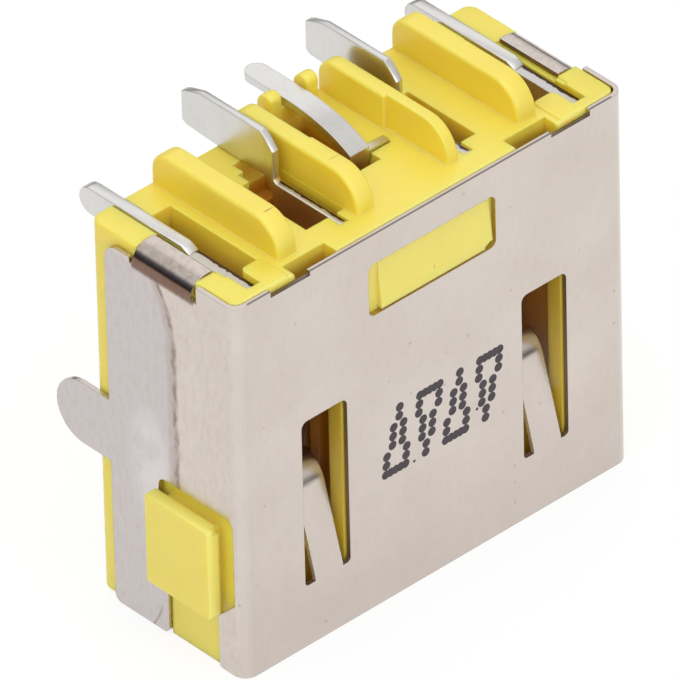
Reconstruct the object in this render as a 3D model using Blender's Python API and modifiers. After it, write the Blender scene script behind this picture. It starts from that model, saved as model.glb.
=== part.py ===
"""DC power jack for a flat rectangular plug, standing on its mating face.

X runs along the wide shell plate, Y runs from that plate to the board side and
Z runs up from the mating face to the side that carries the solder tails.
Sizes are metres. Heights are taken from the mating face and depths from the
outer face of the wide shell plate; the root empty then puts the origin under
the middle of the whole part.
"""
from math import cos, pi, radians, sin, tan

import bmesh
import bpy
from mathutils import Matrix

# Shell of thin plated sheet
SHELL_WIDTH = 0.01500
SHELL_HEIGHT = 0.01296
SHEET = 0.00015
BEND_RADIUS = 0.00045
CORNER_RISE = 0.00006
CORNER_WIDTH = 0.00137
NOTCH_WIDTH = 0.00150
NOTCH_DEPTH = 0.00014
FOOT_RADIUS = 0.00025
SHELL_STEP = 0.00080

# Moulding
FIT = 0.00003
BODY_DEPTH = 0.00620
BACK_CORNER = 0.00035
RIM_ROUND = 0.00008
FRONT_WALL = 0.00053
BACK_WALL = 0.00084
SIDE_WALL = 0.00200

# Plug space and tongue
PLUG_PLAY = 0.00005
PLUG_CORNER = 0.00040
SOCKET_ROOF = 0.00316
MOUTH_LEAD = 0.00025
TONGUE_SIDE_GAP = 0.00280
TONGUE_THICKNESS = 0.00220
TONGUE_SETBACK = 0.00180
TONGUE_LEAD = 0.00030
TONGUE_ROOT = 0.00050
PIN_HOLE = 0.00130
PIN_HOLE_END = 0.00100

# Places across the width, each as a share of half the shell's width
GROUND_SHARE = 0.8333
GROUND_POCKET_SHARE = 0.7093
OUTER_RIB_SHARE = 0.6133
FINGER_SHARE = 0.5653
POWER_SHARE = 0.3173
INNER_RIB_SHARE = 0.2227
LEFT_POCKET_SHARE = 0.4520
RIGHT_POCKET_SHARE = 0.4160

# Ribs between the tails
RIB_RISE = 0.00116
RIB_FRONT = 0.00093
RIB_NOSE = 0.00105
RIB_HEEL = 0.00064
RIB_EDGE = 0.00011
OUTER_RIB_WIDTH = 0.00072
INNER_RIB_WIDTH = 0.00054
RIB_LEDGE = 0.00002
RIB_STEP = 0.00012
RIB_STEP_BACK = 0.00275

# Guide posts beside the sense tail
POST_GAP = 0.00012
POST_WIDTH = 0.00044
POST_LENGTH = 0.00060
POST_RISE = 0.00110
POST_HEEL = 0.00038

# Pockets in the top of the moulding
FINGER_POCKET_WIDTH = 0.00160
FINGER_POCKET_FLOOR = 0.00150
FINGER_GROOVE_DEPTH = 0.00040
FINGER_OPENING_LOW = 0.00330
GROUND_POCKET_FRONT = 0.00140
GROUND_POCKET_END = 0.00117
GROUND_POCKET_DEPTH = 0.00150
GROUND_BLADE_GAP = 0.00005
GROUND_POCKET_ROUND = 0.00020
POWER_POCKET_FRONT = 0.00150
POWER_POCKET_END = 0.00190
POWER_POCKET_DEPTH = 0.00200
POWER_NECK_WIDTH = 0.00040
POWER_STEP_LENGTH = 0.00045
SENSE_POCKET_FRONT_GAP = 0.00044
SENSE_POCKET_SIDE = 0.00010
SENSE_POCKET_DEPTH = 0.00210
SLOT_EXTRA = 0.00030
OVERLAP = 0.00010

# Pads that stand round the ends of the ground blades
PAD_RISE = 0.00006
PAD_SIDE_WIDTH = 0.00073
PAD_EDGE = 0.00005
PAD_CORNER = 0.00016
PAD_INSET = 0.00001

# Rolled lock tabs of the shell
TAB_FRONT = 0.00185
TAB_RADIUS = 0.00060
TAB_FLAT = 0.00026
TAB_DROP = 0.00051
TAB_RELIEF = 0.00026
HUMP_GAP = 0.00012
HUMP_LENGTH = 0.00090
HUMP_DROP = 0.00034
HUMP_RADIUS = 0.00050
RELIEF_RADIUS = 0.00010

# Windows in the wide plate
LATCH_WINDOW_WIDTH = 0.00488
LATCH_WINDOW_DROP = 0.00100
LATCH_WINDOW_HEIGHT = 0.00178
LATCH_WIDTH = 0.00428
LATCH_SHIFT = 0.00018
LATCH_GAP = 0.00008
LATCH_CORNER = (0.00030, 0.00018)
LATCH_RISE = 0.00018
LATCH_CATCH = 0.00020
WINDOW_CORNER = 0.00022
WINDOW_FOOT = 0.00013
FINGER_WINDOW_WIDTH = 0.00174
FINGER_WINDOW_LOW = 0.00212
FINGER_WINDOW_HEIGHT = 0.00575
FINGER_WIDTH = 0.00105
FINGER_SHIFT = 0.00005
FINGER_HINGE = 0.00008
FINGER_LEAN = radians(15.0)
FINGER_STRAIGHT = 0.00266
FINGER_CURL = 0.00100
FINGER_CURL_ANGLE = radians(62.0)

# Ears of the moulding and their slots in the side plates
EAR_FRONT = 0.00086
EAR_WIDTH = 0.00264
EAR_LOW = 0.00197
EAR_HEIGHT = 0.00310
EAR_THICKNESS = 0.00048
EAR_EDGE = 0.00008
EAR_RELIEF = (0.00018, 0.00026)
SLOT_FRONT = 0.00035
SLOT_BACK = 0.00341
SLOT_TOP = 0.00546
SLOT_SHOULDER = 0.00250
SLOT_CORNER = 0.00028
SLIT_FRONT = 0.00104
SLIT_BACK = 0.00315
SLIT_FOOT = (0.00010, 0.00022)
KEEL_RISE = 0.00007

# Solder legs of the shell
LEG_LOW = 0.00493
LEG_HEIGHT = 0.00214
LEG_REACH = 0.00144

# Terminals
STOCK = 0.00025
STOCK_EDGE = 0.00003
TAIL_REACH = 0.00140
TERMINAL_GAP = 0.00004
GROUND_TAIL_WIDTH = 0.00040
GROUND_TAIL_HEIGHT = 0.00090
GROUND_TAIL_PROUD = 0.00005
GROUND_TAIL_LENGTH = 0.00460
GROUND_TAIL_FACET = 0.00036
GROUND_BLADE_FRONT = 0.00060
GROUND_BLADE_DROP = 0.00014
GROUND_BLADE_WIDTH = 0.00038
POWER_TAIL_RISE = 0.00149
POWER_TAIL_LENGTH = 0.00378
POWER_TAIL_SHOULDER = 0.00050
POWER_TAIL_HIP = (0.00030, 0.00015)
POWER_TAIL_THROAT = 0.00080
POWER_TIP_HEIGHT = 0.00110
POWER_TIP_SLOPE = 0.00080
POWER_TIP_CUT = 0.00020
POWER_BLADE_FRONT = 0.00105
POWER_FOOT = 0.00016
SENSE_STOCK = 0.00024
SENSE_WIDTH = 0.00072
SENSE_TAIL_RISE = 0.00085
SENSE_TAIL_REACH = 0.00132
SENSE_BEND_START = 0.00060
SENSE_BENDS = ((0.00650, radians(13.8)), (0.00400, radians(28.0)))
SENSE_FACE_SETBACK = 0.00327
SENSE_STUB_LENGTH = 0.00076
SENSE_STUB_HEIGHT = 0.00032
SENSE_STUB_RISE = 0.00010
SENSE_SPRING_BOW = (0.00030, 0.00010)
BEAM_WIDTH = 0.00130
BEAM_BULGE = 0.00050
BEAM_TIP = 0.00270
BEAM_PEAK = 0.00390
BEAM_LENGTH = 0.00300
BEAM_SPAN = 0.00030
BEAM_CLEAR = 0.00040
BEAM_SHOULDER_SHARE = 0.92
BEAM_TIP_SHARE = 0.30

# Sizes that follow from those above
HALF = SHELL_WIDTH / 2
TOP = SHELL_HEIGHT
SHELL_SIDE = BODY_DEPTH - SHELL_STEP
MOULD_X = HALF - SHEET - FIT
MOULD_Y = SHEET + FIT
SOCKET_FRONT = MOULD_Y + FRONT_WALL
SOCKET_BACK = BODY_DEPTH - BACK_WALL
SOCKET_X = HALF - SIDE_WALL + PLUG_PLAY
SOCKET_MID = (SOCKET_FRONT + SOCKET_BACK) / 2
SOCKET_DEPTH = SHELL_HEIGHT - SOCKET_ROOF
TONGUE_X = SOCKET_X - PLUG_PLAY - TONGUE_SIDE_GAP
PIN_HOLE_TOP = SOCKET_DEPTH - PIN_HOLE_END
GROUND_X = HALF * GROUND_SHARE
GROUND_POCKET_INNER = HALF * GROUND_POCKET_SHARE
GROUND_POCKET_BACK = BODY_DEPTH - GROUND_POCKET_END
OUTER_RIB_X = HALF * OUTER_RIB_SHARE
INNER_RIB_X = HALF * INNER_RIB_SHARE
FINGER_X = HALF * FINGER_SHARE
POWER_X = HALF * POWER_SHARE
POWER_POCKET_OUTER = (HALF * LEFT_POCKET_SHARE, HALF * RIGHT_POCKET_SHARE)
POWER_POCKET_BACK = BODY_DEPTH - POWER_POCKET_END
POST_X = SENSE_WIDTH / 2 + POST_GAP + POST_WIDTH / 2
TAB_START = SHELL_HEIGHT - TAB_DROP
TAB_BACK = SHELL_SIDE - HUMP_LENGTH - TAB_RELIEF
HUMP_TOP = SHELL_HEIGHT - HUMP_DROP
LATCH_WINDOW_HIGH = SHELL_HEIGHT - LATCH_WINDOW_DROP
LATCH_WINDOW_LOW = LATCH_WINDOW_HIGH - LATCH_WINDOW_HEIGHT
FINGER_WINDOW_HIGH = FINGER_WINDOW_LOW + FINGER_WINDOW_HEIGHT
LEG_TIP = BODY_DEPTH + LEG_REACH
TAIL_TIP = BODY_DEPTH + TAIL_REACH
GROUND_TAIL_FRONT = TAIL_TIP - GROUND_TAIL_LENGTH
POWER_TAIL_TOP = SHELL_HEIGHT + POWER_TAIL_RISE
POWER_TAIL_FRONT = TAIL_TIP - POWER_TAIL_LENGTH
SENSE_TAIL_TOP = SHELL_HEIGHT + SENSE_TAIL_RISE
SENSE_TAIL_TIP = BODY_DEPTH + SENSE_TAIL_REACH
SENSE_BEND_Y = BODY_DEPTH - SENSE_BEND_START
SENSE_FACE = BODY_DEPTH - SENSE_FACE_SETBACK
SENSE_STUB_TOP = SHELL_HEIGHT + SENSE_STUB_RISE
SENSE_POCKET_FRONT = SENSE_FACE - SENSE_POCKET_FRONT_GAP
BEAM_ROOT = SOCKET_DEPTH - BEAM_LENGTH
EXTRA = 0.00100

YELLOW = (0.80, 0.62, 0.08, 1.0)
NICKEL = (0.60, 0.56, 0.53, 1.0)
TIN = (0.68, 0.68, 0.69, 1.0)


def clear_scene():
    """Remove every object of the start-up scene."""
    for item in list(bpy.data.objects):
        bpy.data.objects.remove(item, do_unlink=True)


def new_collection(name):
    """Make a collection under the scene's own."""
    group = bpy.data.collections.new(name)
    bpy.context.scene.collection.children.link(group)
    return group


def make_root():
    """Empty that carries every part, over the middle of the footprint."""
    empty = bpy.data.objects.new("jack_origin", None)
    empty.location = (0.0, -LEG_TIP / 2, 0.0)
    empty.empty_display_size = 0.002
    PARTS.objects.link(empty)
    return empty


def surface(name, colour, roughness, metallic):
    """Principled material of one part."""
    material = bpy.data.materials.new(name)
    material.use_nodes = True
    shader = material.node_tree.nodes["Principled BSDF"]
    shader.inputs["Base Color"].default_value = colour
    shader.inputs["Roughness"].default_value = roughness
    shader.inputs["Metallic"].default_value = metallic
    material.diffuse_color = colour
    return material


def adopt(item, group):
    """Put an object in a collection and under the root."""
    for old in list(item.users_collection):
        old.objects.unlink(item)
    group.objects.link(item)
    item.parent = ROOT
    return item


def as_tool(item):
    """Mark an object as a construction shape."""
    item.hide_render = True
    item.display_type = 'WIRE'
    return item


def block(name, x, y, z, group):
    """Box between two bounds on each axis."""
    bpy.ops.mesh.primitive_cube_add(size=1.0)
    item = bpy.context.object
    item.name = name
    low = (x[0], y[0], z[0])
    size = (x[1] - x[0], y[1] - y[0], z[1] - z[0])
    for vertex in item.data.vertices:
        vertex.co = [low[i] + (vertex.co[i] + 0.5) * size[i] for i in range(3)]
    return adopt(item, group)


PLANES = {
    "XY": Matrix.Identity(4),
    "XZ": Matrix.Rotation(pi / 2, 4, 'X'),
    "YZ": Matrix.Rotation(pi / 2, 4, 'Z') @ Matrix.Rotation(pi / 2, 4, 'X'),
}
NORMALS = {"XY": (0, 0, 1), "XZ": (0, -1, 0), "YZ": (1, 0, 0)}


def plate(name, outline, plane, low, high, group):
    """Flat outline made solid between two stations along its normal axis."""
    curve = bpy.data.curves.new(name, 'CURVE')
    curve.dimensions = '2D'
    curve.fill_mode = 'BOTH'
    curve.extrude = (high - low) / 2
    spline = curve.splines.new('POLY')
    spline.points.add(len(outline) - 1)
    for point, place in zip(spline.points, outline):
        point.co = (place[0], place[1], 0.0, 1.0)
    spline.use_cyclic_u = True
    drawn = bpy.data.objects.new(name, curve)
    along = (low + high) / 2
    axis = [abs(value) for value in NORMALS[plane]]
    drawn.matrix_world = Matrix.Translation([along * value for value in axis]) @ PLANES[plane]
    bpy.context.scene.collection.objects.link(drawn)
    bpy.context.view_layer.update()
    mesh = bpy.data.meshes.new_from_object(drawn.evaluated_get(bpy.context.evaluated_depsgraph_get()))
    mesh.transform(drawn.matrix_world)
    bpy.data.objects.remove(drawn, do_unlink=True)
    work = bmesh.new()
    work.from_mesh(mesh)
    bmesh.ops.remove_doubles(work, verts=work.verts, dist=1e-7)
    bmesh.ops.dissolve_limit(work, angle_limit=radians(0.5), verts=work.verts, edges=work.edges)
    bmesh.ops.recalc_face_normals(work, faces=work.faces)
    work.to_mesh(mesh)
    work.free()
    mesh.name = name
    item = bpy.data.objects.new(name, mesh)
    bpy.context.scene.collection.objects.link(item)
    return adopt(item, group)


def arc(centre, radius, start, end, steps=6):
    """Points of an arc, angles in degrees."""
    points = []
    for index in range(steps + 1):
        angle = radians(start + (end - start) * index / steps)
        points.append((centre[0] + radius * cos(angle), centre[1] + radius * sin(angle)))
    return points


def rounded(x, y, radii, steps=5):
    """Rectangle outline with a radius at each corner, from the low corner round."""
    corners = (
        ((x[0] + radii[0], y[0] + radii[0]), radii[0], 180),
        ((x[1] - radii[1], y[0] + radii[1]), radii[1], 270),
        ((x[1] - radii[2], y[1] - radii[2]), radii[2], 0),
        ((x[0] + radii[3], y[1] - radii[3]), radii[3], 90),
    )
    points = []
    for centre, radius, start in corners:
        if radius > 0:
            points.extend(arc(centre, radius, start, start + 90, steps))
        else:
            points.append(centre)
    return points


def strip(path, thickness):
    """Closed outline of a sheet strip whose middle line is the path."""
    left = []
    right = []
    last = len(path) - 1
    for index, place in enumerate(path):
        before = path[max(index - 1, 0)]
        after = path[min(index + 1, last)]
        first = unit(place, before) if index else unit(after, place)
        second = unit(after, place) if index < last else first
        normal = (-(first[1] + second[1]), first[0] + second[0])
        length = (normal[0] ** 2 + normal[1] ** 2) ** 0.5
        normal = (normal[0] / length, normal[1] / length)
        mitre = -first[1] * normal[0] + first[0] * normal[1]
        reach = thickness / 2 / mitre
        left.append((place[0] + normal[0] * reach, place[1] + normal[1] * reach))
        right.append((place[0] - normal[0] * reach, place[1] - normal[1] * reach))
    return left + right[::-1]


def unit(head, tail):
    """Unit vector from tail to head."""
    step = (head[0] - tail[0], head[1] - tail[1])
    length = (step[0] ** 2 + step[1] ** 2) ** 0.5
    return (step[0] / length, step[1] / length)


def soften(item, width, segments=2):
    """Round the sharp edges of a shape."""
    bevel = item.modifiers.new("edge_round", 'BEVEL')
    bevel.width = width
    bevel.segments = segments
    bevel.limit_method = 'ANGLE'
    bevel.angle_limit = radians(50)
    return item


def combine(item, group, operation):
    """Join or cut an object with every shape of a collection."""
    step = item.modifiers.new(group.name, 'BOOLEAN')
    step.operation = operation
    step.operand_type = 'COLLECTION'
    step.collection = group
    step.solver = 'EXACT'


def tool_collection(name):
    """Collection of construction shapes."""
    group = bpy.data.collections.new(name)
    TOOLS.children.link(group)
    return group


def finish(item, material):
    """Give a part its material and smooth its round faces."""
    item.data.materials.clear()
    item.data.materials.append(material)
    item.data.shade_smooth()
    item.data.set_sharp_from_angle(angle=radians(32))
    return item


def rib_outline(front, back, top, nose, heel):
    """Side view of a rib with a rounded nose and heel."""
    root = TOP - EXTRA
    points = [(back, root)]
    points += arc((back - heel, top - heel), heel, 0, 90)
    points += arc((front + nose, top - nose), nose, 90, 180, 12)
    points.append((front, root))
    return points[::-1]


def make_ribs(group):
    """Four ribs that part the tails, the inner ones stepped at mid length."""
    top = TOP + RIB_RISE
    outline = rib_outline(RIB_FRONT, BODY_DEPTH, top, RIB_NOSE, RIB_HEEL)
    for side in (-1, 1):
        middle = side * OUTER_RIB_X
        half = OUTER_RIB_WIDTH / 2
        rib = plate("outer_rib", outline, "YZ", middle - half, middle + half, group)
        soften(rib, RIB_EDGE, 3)
        x = [side * INNER_RIB_X - INNER_RIB_WIDTH / 2, side * INNER_RIB_X + INNER_RIB_WIDTH / 2]
        if side < 0:
            x[1] += RIB_STEP
        rib = plate("inner_rib", outline, "YZ", x[0], x[1], group)
        soften(rib, RIB_EDGE, 3)


def cut_rib_steps(group):
    """Step in the sense side of each inner rib, set back behind it on the left and before it on the right."""
    half = INNER_RIB_WIDTH / 2
    edge = BODY_DEPTH - RIB_STEP_BACK
    z = (TOP + RIB_LEDGE, TOP + RIB_RISE + EXTRA)
    face = half - INNER_RIB_X
    block("left_rib_step", (face, face + 2 * RIB_STEP), (edge, BODY_DEPTH + EXTRA), z, group)
    face = INNER_RIB_X - half
    block("right_rib_step", (face - RIB_STEP, face + RIB_STEP), (0.0, edge), z, group)


def make_posts(group):
    """Two round-topped posts that guide the sense tail, and the saddle between them that it lies on."""
    top = TOP + POST_RISE
    front = BODY_DEPTH - POST_LENGTH
    outline = rib_outline(front, BODY_DEPTH, top, POST_LENGTH - POST_HEEL, POST_HEEL)
    for side in (-1, 1):
        middle = side * POST_X
        post = plate("guide_post", outline, "YZ", middle - POST_WIDTH / 2, middle + POST_WIDTH / 2, group)
        soften(post, RIB_EDGE / 2)
    x = (RIB_LEDGE - POST_X, POST_X - RIB_LEDGE)
    y = (front + RIB_LEDGE, BODY_DEPTH - 2 * RIM_ROUND)
    block("sense_saddle", x, y, (TOP - EXTRA, SENSE_TAIL_TOP - SENSE_STOCK - TERMINAL_GAP), group)


def make_pads(group):
    """Raised pads in the front corners, bent round the ends of the ground blades."""
    inner = GROUND_POCKET_INNER - OVERLAP
    outer = MOULD_X - PAD_INSET
    front = MOULD_Y + PAD_INSET
    bend = BEND_RADIUS - SHEET
    back = TAB_FRONT + RIB_LEDGE
    step = GROUND_POCKET_FRONT + RIB_LEDGE
    for side in (-1, 1):
        outline = arc((inner + PAD_CORNER, front + PAD_CORNER), PAD_CORNER, 180, 270, 4)
        outline += arc((outer - bend, front + bend), bend, 270, 360, 4)
        outline += [(outer, back), (MOULD_X - PAD_SIDE_WIDTH, back)]
        outline += [(MOULD_X - PAD_SIDE_WIDTH, step)]
        outline += arc((inner + PAD_CORNER, step - PAD_CORNER), PAD_CORNER, 90, 180, 4)
        outline = [(side * x, y) for x, y in outline]
        pad = plate("corner_pad", outline, "XY", TOP - EXTRA, TOP + PAD_RISE, group)
        soften(pad, PAD_EDGE)


def make_ears(group):
    """Square ears on necks, with a keel below each that fills the shell's slit."""
    y = (EAR_FRONT, EAR_FRONT + EAR_WIDTH)
    z = (EAR_LOW, EAR_LOW + EAR_HEIGHT)
    neck_y = (SLIT_FRONT + FIT, SLIT_BACK - FIT)
    for side in (-1, 1):
        x = sorted((side * (HALF + FIT), side * (HALF + FIT + EAR_THICKNESS)))
        head = block("ear_head", x, y, z, group)
        soften(head, EAR_EDGE)
        relief = tool_collection("ear_relief")
        inner = sorted((side * (HALF - FIT), side * (HALF + FIT + EAR_THICKNESS / 2)))
        front = (EAR_FRONT - EXTRA, EAR_FRONT + EAR_RELIEF[0])
        block("ear_relief", inner, front, (z[1] - EAR_RELIEF[1], TOP), relief)
        combine(head, relief, 'DIFFERENCE')
        x = sorted((side * (MOULD_X - EXTRA), side * (HALF + FIT + EAR_THICKNESS / 2)))
        block("ear_neck", x, neck_y, (SLOT_SHOULDER, z[1] - 2 * EAR_EDGE), group)
        x = sorted((side * (MOULD_X - EXTRA), side * (MOULD_X + KEEL_RISE)))
        block("ear_keel", x, neck_y, (0.0, SLOT_SHOULDER + FIT), group)


def make_latch(group):
    """Ramp that snaps into the wide plate's window, flush at its top."""
    low = LATCH_WINDOW_LOW + LATCH_GAP
    high = LATCH_WINDOW_HIGH + LATCH_CATCH
    outline = [
        (MOULD_Y + EXTRA / 4, low),
        (MOULD_Y + EXTRA / 4, high),
        (MOULD_Y, high),
        (MOULD_Y - LATCH_RISE, low + LATCH_CATCH),
        (MOULD_Y - LATCH_RISE, low),
    ]
    x = (LATCH_SHIFT - LATCH_WIDTH / 2, LATCH_SHIFT + LATCH_WIDTH / 2)
    ramp = plate("latch_ramp", outline, "YZ", x[0], x[1], group)
    wide, tall = LATCH_CORNER
    corner = [(x[1] - wide, low - EXTRA / 4), (x[1] + EXTRA, low - EXTRA / 4)]
    corner += [(x[1] + EXTRA, low + tall), (x[1] - EXTRA / 8, low + tall), (x[1] - wide, low + tall / 3)]
    cut = tool_collection("latch_cut")
    plate("latch_corner", corner, "XZ", -EXTRA, MOULD_Y + EXTRA, cut)
    combine(ramp, cut, 'DIFFERENCE')


def cut_socket(group):
    """Space for the plug, with a lead-in round its mouth."""
    x = (-SOCKET_X, SOCKET_X)
    y = (SOCKET_FRONT, SOCKET_BACK)
    space = plate("plug_space", rounded(x, y, [PLUG_CORNER] * 4), "XY", -EXTRA, SOCKET_DEPTH, group)
    tongue = tool_collection("socket_tongue")
    make_tongue(tongue)
    combine(space, tongue, 'DIFFERENCE')
    bpy.ops.mesh.primitive_cube_add(size=1.0)
    mouth = bpy.context.object
    mouth.name = "mouth_lead"
    for vertex in mouth.data.vertices:
        low = vertex.co.z < 0
        spread = 2 * MOUTH_LEAD if low else -MOUTH_LEAD
        sign_x = 1 if vertex.co.x > 0 else -1
        sign_y = 1 if vertex.co.y > 0 else -1
        vertex.co.x = sign_x * (SOCKET_X + spread)
        vertex.co.y = SOCKET_MID + sign_y * ((SOCKET_BACK - SOCKET_FRONT) / 2 + spread)
        vertex.co.z = -MOUTH_LEAD if low else 2 * MOUTH_LEAD
    adopt(mouth, group)


def cut_finger_pockets(group):
    """Grooves behind the spring fingers, open to the plug where the fingers lean in."""
    for side in (-1, 1):
        middle = side * FINGER_X
        x = (middle - FINGER_POCKET_WIDTH / 2, middle + FINGER_POCKET_WIDTH / 2)
        y = (MOULD_Y - EXTRA, MOULD_Y + FINGER_GROOVE_DEPTH)
        block("finger_groove", x, y, (FINGER_POCKET_FLOOR, TOP + EXTRA), group)
        y = (MOULD_Y + OVERLAP, SOCKET_FRONT + RIB_LEDGE)
        block("finger_opening", x, y, (FINGER_OPENING_LOW, TOP + EXTRA / 2), group)


def cut_tab_seats(group):
    """Seats under the shell's rolled tabs, rounded to the inside of the roll."""
    inner = TAB_RADIUS - SHEET - FIT
    centre_z = TAB_START
    for side in (-1, 1):
        centre_x = side * (HALF - TAB_RADIUS)
        reach = side * (GROUND_X + GROUND_TAIL_WIDTH / 2)
        turn = (0, 90) if side > 0 else (180, 90)
        roll = arc((centre_x, centre_z), inner, turn[0], turn[1], 12)
        outline = [(side * (HALF + EXTRA), centre_z)] + roll
        outline += [(reach, centre_z + inner), (reach, TOP + EXTRA), (side * (HALF + EXTRA), TOP + EXTRA)]
        y = (TAB_FRONT - TERMINAL_GAP, TAB_BACK + TERMINAL_GAP)
        plate("tab_seat", outline, "XZ", y[0], y[1], group)


def cut_ground_pockets(group):
    """Pocket, tail slot and spring slot of each ground terminal."""
    slot = STOCK / 2 + TERMINAL_GAP
    tail = GROUND_TAIL_WIDTH / 2 + TERMINAL_GAP
    tail_low = TOP + GROUND_TAIL_PROUD - GROUND_TAIL_HEIGHT - TERMINAL_GAP
    for side in (-1, 1):
        x = sorted((side * GROUND_POCKET_INNER, side * (GROUND_X + tail)))
        y = (GROUND_POCKET_FRONT, GROUND_POCKET_BACK)
        block("ground_pocket", x, y, (TOP - GROUND_POCKET_DEPTH, TOP + EXTRA), group)
        x = (side * GROUND_X - tail, side * GROUND_X + tail)
        block("ground_tail_slot", x, (GROUND_TAIL_FRONT, BODY_DEPTH + EXTRA), (tail_low, TOP + EXTRA), group)
        wide = GROUND_BLADE_WIDTH / 2 + GROUND_BLADE_GAP
        x = (side * GROUND_X - wide, side * GROUND_X + wide)
        y = (GROUND_BLADE_FRONT - TERMINAL_GAP, GROUND_POCKET_BACK)
        block("ground_blade_slot", x, y, (TOP - GROUND_POCKET_DEPTH - SLOT_EXTRA, TOP + EXTRA), group)
        wall = GROUND_X - wide
        turn = GROUND_POCKET_ROUND
        outline = arc((wall - turn, GROUND_POCKET_FRONT - turn), turn, 0, 90)
        outline += [(wall - turn, GROUND_POCKET_FRONT + OVERLAP), (wall + OVERLAP, GROUND_POCKET_FRONT + OVERLAP)]
        outline += [(wall + OVERLAP, GROUND_POCKET_FRONT - turn)]
        outline = [(side * px, py) for px, py in outline]
        low = TOP - GROUND_POCKET_DEPTH + OVERLAP
        plate("pocket_round", outline, "XY", low, TOP + EXTRA / 2, group)
        y = (SOCKET_MID - BEAM_WIDTH / 2 - TERMINAL_GAP, SOCKET_MID + BEAM_WIDTH / 2 + TERMINAL_GAP)
        x = (side * GROUND_X - slot, side * GROUND_X + slot)
        block("ground_stem_slot", x, y, (BEAM_ROOT, TOP - GROUND_POCKET_DEPTH + OVERLAP), group)
        x = sorted((side * (GROUND_X + slot), side * (SOCKET_X - 2 * OVERLAP)))
        block("ground_beam_slot", x, y, (BEAM_TIP - BEAM_CLEAR, SOCKET_DEPTH - BEAM_CLEAR), group)


def cut_power_pockets(group):
    """Pocket and slots of each power terminal, beside the inner ribs."""
    slot = STOCK / 2 + TERMINAL_GAP
    rib_face = INNER_RIB_X + INNER_RIB_WIDTH / 2 + RIB_LEDGE
    for side, outer in zip((-1, 1), POWER_POCKET_OUTER):
        x = sorted((side * rib_face, side * outer))
        y = (POWER_POCKET_FRONT, POWER_POCKET_BACK)
        block("power_pocket", x, y, (TOP - POWER_POCKET_DEPTH, TOP + EXTRA), group)
        for step in (0, 1, 2):
            reach = POWER_X + POWER_NECK_WIDTH + (outer - POWER_X - POWER_NECK_WIDTH) * (2 - step) / 3
            x = sorted((side * rib_face, side * reach))
            y = (POWER_POCKET_FRONT, POWER_POCKET_BACK + step * POWER_STEP_LENGTH)
            block("power_neck", x, y, (TOP - POWER_POCKET_DEPTH * (3 - step) / 4, TOP + EXTRA), group)
        x = (side * POWER_X - slot, side * POWER_X + slot)
        y = (POWER_BLADE_FRONT - TERMINAL_GAP, POWER_TAIL_FRONT + TERMINAL_GAP)
        block("power_blade_slot", x, y, (TOP - POWER_POCKET_DEPTH - SLOT_EXTRA, TOP + EXTRA), group)
        y = (SOCKET_MID - BEAM_WIDTH / 2 - TERMINAL_GAP, SOCKET_MID + BEAM_WIDTH / 2 + TERMINAL_GAP)
        block("power_stem_slot", x, y, (BEAM_ROOT, TOP - POWER_POCKET_DEPTH + OVERLAP), group)
        x = sorted((side * (POWER_X - slot), side * (TONGUE_X + EXTRA)))
        block("power_beam_slot", x, y, (BEAM_TIP - BEAM_CLEAR, SOCKET_DEPTH), group)


def cut_sense_pocket(group):
    """Pocket of the sense terminal, its stub's notch and the tongue's bore."""
    half = SENSE_WIDTH / 2 + TERMINAL_GAP
    left = -(INNER_RIB_X - INNER_RIB_WIDTH / 2 - SENSE_POCKET_SIDE)
    y = (SENSE_POCKET_FRONT, BODY_DEPTH - POST_LENGTH)
    block("sense_pocket", (left, half), y, (TOP - SENSE_POCKET_DEPTH, TOP + EXTRA), group)
    y = (SENSE_FACE - TERMINAL_GAP, SENSE_FACE + SENSE_STOCK + TERMINAL_GAP)
    z = (SENSE_STUB_TOP - SENSE_STUB_HEIGHT - TERMINAL_GAP, TOP + EXTRA)
    reach = SENSE_WIDTH / 2 + SENSE_STUB_LENGTH + TERMINAL_GAP
    block("sense_stub_notch", (0.0, reach), y, z, group)
    back = SOCKET_MID + PIN_HOLE / 2 + SENSE_STOCK + TERMINAL_GAP
    z = (PIN_HOLE_TOP, TOP - SENSE_POCKET_DEPTH + OVERLAP)
    block("sense_drop", (-half, half), (y[0], back), z, group)


def make_tongue(group):
    """Tongue on which the power springs and the sense spring sit."""
    x = (-TONGUE_X, TONGUE_X)
    y = (SOCKET_MID - TONGUE_THICKNESS / 2, SOCKET_MID + TONGUE_THICKNESS / 2)
    tongue = block("tongue", x, y, (TONGUE_SETBACK, SOCKET_DEPTH + TONGUE_ROOT), group)
    soften(tongue, TONGUE_LEAD, 2)


def cut_tongue(group):
    """Bore for the plug's pin and the groove behind it for the sense spring."""
    low = TONGUE_SETBACK - EXTRA
    length = PIN_HOLE_TOP - low
    bpy.ops.mesh.primitive_cylinder_add(vertices=24, radius=PIN_HOLE / 2, depth=length)
    bore = bpy.context.object
    bore.name = "pin_bore"
    bore.data.transform(Matrix.Translation((0.0, SOCKET_MID, low + length / 2)))
    adopt(bore, group)
    half = SENSE_WIDTH / 2 + TERMINAL_GAP
    y = (SOCKET_MID, SOCKET_MID + PIN_HOLE / 2 + SENSE_STOCK + TERMINAL_GAP)
    z = (BEAM_TIP + BEAM_CLEAR, PIN_HOLE_TOP + OVERLAP)
    block("sense_groove", (-half, half), y, z, group)


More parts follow.
